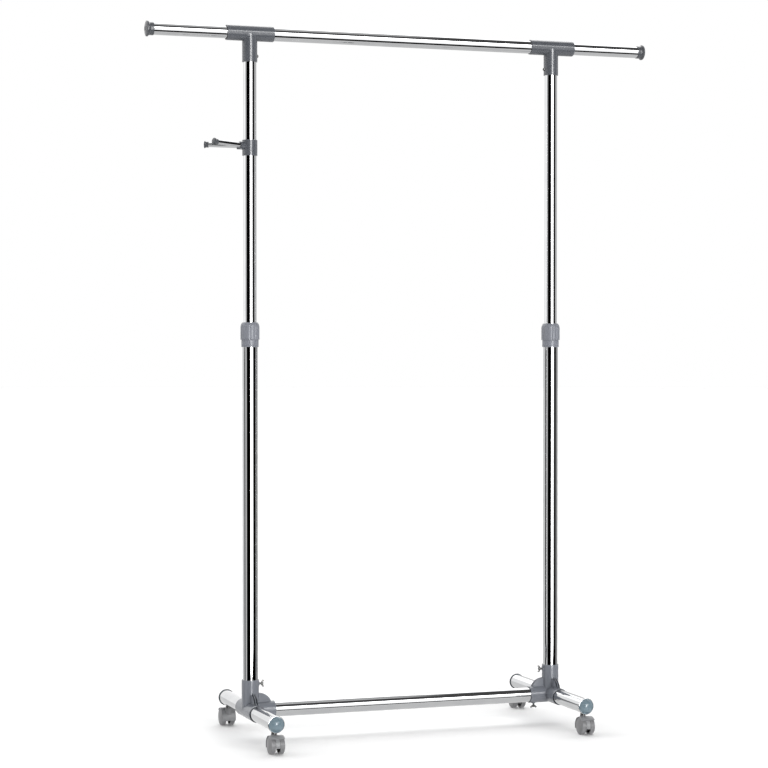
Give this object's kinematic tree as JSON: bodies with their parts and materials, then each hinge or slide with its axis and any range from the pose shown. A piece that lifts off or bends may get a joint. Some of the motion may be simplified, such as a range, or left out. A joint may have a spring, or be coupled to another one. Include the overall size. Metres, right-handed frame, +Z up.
{
  "type": "rolling clothes rack",
  "caption": "Free-standing clothes rack on castors: telescopic chromed posts, pull-out hanging rail, two-pronged swivel hook.",
  "frame": {"origin": "on the floor, midway between the two posts", "axes": "+X along the hanging rail to the right, +Y from front to back, +Z up"},
  "size_m": [1.1372, 0.408, 1.4986],
  "materials": {
    "chromed_tube": "polished chromed steel tube",
    "tee_plastic": "satin moulded, dark grey",
    "fitting_plastic": "satin moulded, dark grey",
    "collar_plastic": "satin moulded, grey",
    "cap_plastic": "glossy moulded, blue-grey",
    "castor_plastic": "matt moulded, grey",
    "wheel_plastic": "matt moulded, dark grey",
    "bush_plastic": "matt black bush",
    "zinc_steel": "zinc plated"
  },
  "bodies": {
    "base": {"bottom_rail": "chromed_tube", "foot_tube_left": "chromed_tube", "base_fitting_left": "fitting_plastic", "lower_post_left": "chromed_tube", "collar_base_left": "collar_plastic", "collar_collet_left": "bush_plastic", "foot_cap_front_left": "cap_plastic", "castor_stem_front_left": "zinc_steel", "foot_cap_back_left": "cap_plastic", "castor_stem_back_left": "zinc_steel", "foot_tube_right": "chromed_tube", "base_fitting_right": "fitting_plastic", "lower_post_right": "chromed_tube", "collar_base_right": "collar_plastic", "collar_collet_right": "bush_plastic", "foot_cap_front_right": "cap_plastic", "castor_stem_front_right": "zinc_steel", "foot_cap_back_right": "cap_plastic", "castor_stem_back_right": "zinc_steel"},
    "upper_frame": {"top_rail": "chromed_tube", "upper_post_left": "chromed_tube", "post_guide_left": "bush_plastic", "rail_tee_left": "tee_plastic", "tee_screw_left": "zinc_steel", "rail_bush_left": "bush_plastic", "upper_post_right": "chromed_tube", "post_guide_right": "bush_plastic", "rail_tee_right": "tee_plastic", "tee_screw_right": "zinc_steel", "rail_bush_right": "bush_plastic"},
    "post_screw_left": {"post_screw_left": "zinc_steel"},
    "rail_screw_left": {"rail_screw_left": "zinc_steel"},
    "collar_nut_left": {"collar_nut_left": "collar_plastic"},
    "extension_left": {"rail_extension_left": "chromed_tube", "rail_cap_left": "cap_plastic"},
    "castor_front_left": {"castor_hood_front_left": "castor_plastic", "castor_axle_front_left": "zinc_steel"},
    "wheel_left_front_left": {"wheel_left_front_left": "wheel_plastic"},
    "wheel_right_front_left": {"wheel_right_front_left": "wheel_plastic"},
    "castor_back_left": {"castor_hood_back_left": "castor_plastic", "castor_axle_back_left": "zinc_steel"},
    "wheel_left_back_left": {"wheel_left_back_left": "wheel_plastic"},
    "wheel_right_back_left": {"wheel_right_back_left": "wheel_plastic"},
    "post_screw_right": {"post_screw_right": "zinc_steel"},
    "rail_screw_right": {"rail_screw_right": "zinc_steel"},
    "collar_nut_right": {"collar_nut_right": "collar_plastic"},
    "extension_right": {"rail_extension_right": "chromed_tube", "rail_cap_right": "cap_plastic"},
    "castor_front_right": {"castor_hood_front_right": "castor_plastic", "castor_axle_front_right": "zinc_steel"},
    "wheel_left_front_right": {"wheel_left_front_right": "wheel_plastic"},
    "wheel_right_front_right": {"wheel_right_front_right": "wheel_plastic"},
    "castor_back_right": {"castor_hood_back_right": "castor_plastic", "castor_axle_back_right": "zinc_steel"},
    "wheel_left_back_right": {"wheel_left_back_right": "wheel_plastic"},
    "wheel_right_back_right": {"wheel_right_back_right": "wheel_plastic"},
    "hook": {"hook_sleeve": "tee_plastic", "hook_prong_front": "chromed_tube", "hook_prong_back": "chromed_tube", "hook_prong_caps": "cap_plastic"}
  },
  "joints": [
    {"name": "height_adjust", "type": "slide", "parent": "base", "child": "upper_frame", "axis": [0, 0, 1], "range_m": [-0.34, 0.12]},
    {"name": "rail_extension_left", "type": "slide", "parent": "upper_frame", "child": "extension_left", "axis": [-1, 0, 0], "range_m": [-0.155, 0.08]},
    {"name": "rail_extension_right", "type": "slide", "parent": "upper_frame", "child": "extension_right", "axis": [1, 0, 0], "range_m": [-0.155, 0.08]},
    {"name": "hook_turn", "type": "hinge", "parent": "upper_frame", "child": "hook", "pos_m": [-0.344, 0, 1.246], "axis": [0, 0, 1], "range_deg": [-180, 180]},
    {"name": "collar_nut_left_turn", "type": "hinge", "parent": "base", "child": "collar_nut_left", "pos_m": [-0.344, 0, 0.855], "axis": [0, 0, 1], "range_deg": [0, 360]},
    {"name": "post_screw_left_turn", "type": "hinge", "parent": "base", "child": "post_screw_left", "pos_m": [-0.32, 0, 0.116], "axis": [1, 0, 0], "range_deg": [0, 720]},
    {"name": "rail_screw_left_turn", "type": "hinge", "parent": "base", "child": "rail_screw_left", "pos_m": [-0.304, 0, 0.04], "axis": [0, 0, -1], "range_deg": [0, 720]},
    {"name": "collar_nut_right_turn", "type": "hinge", "parent": "base", "child": "collar_nut_right", "pos_m": [0.344, 0, 0.855], "axis": [0, 0, 1], "range_deg": [0, 360]},
    {"name": "post_screw_right_turn", "type": "hinge", "parent": "base", "child": "post_screw_right", "pos_m": [0.32, 0, 0.116], "axis": [-1, 0, 0], "range_deg": [0, 720]},
    {"name": "rail_screw_right_turn", "type": "hinge", "parent": "base", "child": "rail_screw_right", "pos_m": [0.304, 0, 0.04], "axis": [0, 0, -1], "range_deg": [0, 720]},
    {"name": "castor_front_left_swivel", "type": "hinge", "parent": "base", "child": "castor_front_left", "pos_m": [-0.344, -0.173, 0.038], "axis": [0, 0, 1], "continuous": true},
    {"name": "wheel_left_front_left_spin", "type": "hinge", "parent": "castor_front_left", "child": "wheel_left_front_left", "pos_m": [-0.3535, -0.186, 0.018], "axis": [1, 0, 0], "continuous": true},
    {"name": "wheel_right_front_left_spin", "type": "hinge", "parent": "castor_front_left", "child": "wheel_right_front_left", "pos_m": [-0.3345, -0.186, 0.018], "axis": [1, 0, 0], "continuous": true},
    {"name": "castor_back_left_swivel", "type": "hinge", "parent": "base", "child": "castor_back_left", "pos_m": [-0.344, 0.173, 0.038], "axis": [0, 0, 1], "continuous": true},
    {"name": "wheel_left_back_left_spin", "type": "hinge", "parent": "castor_back_left", "child": "wheel_left_back_left", "pos_m": [-0.3535, 0.186, 0.018], "axis": [1, 0, 0], "continuous": true},
    {"name": "wheel_right_back_left_spin", "type": "hinge", "parent": "castor_back_left", "child": "wheel_right_back_left", "pos_m": [-0.3345, 0.186, 0.018], "axis": [1, 0, 0], "continuous": true},
    {"name": "castor_front_right_swivel", "type": "hinge", "parent": "base", "child": "castor_front_right", "pos_m": [0.344, -0.173, 0.038], "axis": [0, 0, 1], "continuous": true},
    {"name": "wheel_left_front_right_spin", "type": "hinge", "parent": "castor_front_right", "child": "wheel_left_front_right", "pos_m": [0.3345, -0.186, 0.018], "axis": [1, 0, 0], "continuous": true},
    {"name": "wheel_right_front_right_spin", "type": "hinge", "parent": "castor_front_right", "child": "wheel_right_front_right", "pos_m": [0.3535, -0.186, 0.018], "axis": [1, 0, 0], "continuous": true},
    {"name": "castor_back_right_swivel", "type": "hinge", "parent": "base", "child": "castor_back_right", "pos_m": [0.344, 0.173, 0.038], "axis": [0, 0, 1], "continuous": true},
    {"name": "wheel_left_back_right_spin", "type": "hinge", "parent": "castor_back_right", "child": "wheel_left_back_right", "pos_m": [0.3345, 0.186, 0.018], "axis": [1, 0, 0], "continuous": true},
    {"name": "wheel_right_back_right_spin", "type": "hinge", "parent": "castor_back_right", "child": "wheel_right_back_right", "pos_m": [0.3535, 0.186, 0.018], "axis": [1, 0, 0], "continuous": true}
  ]
}
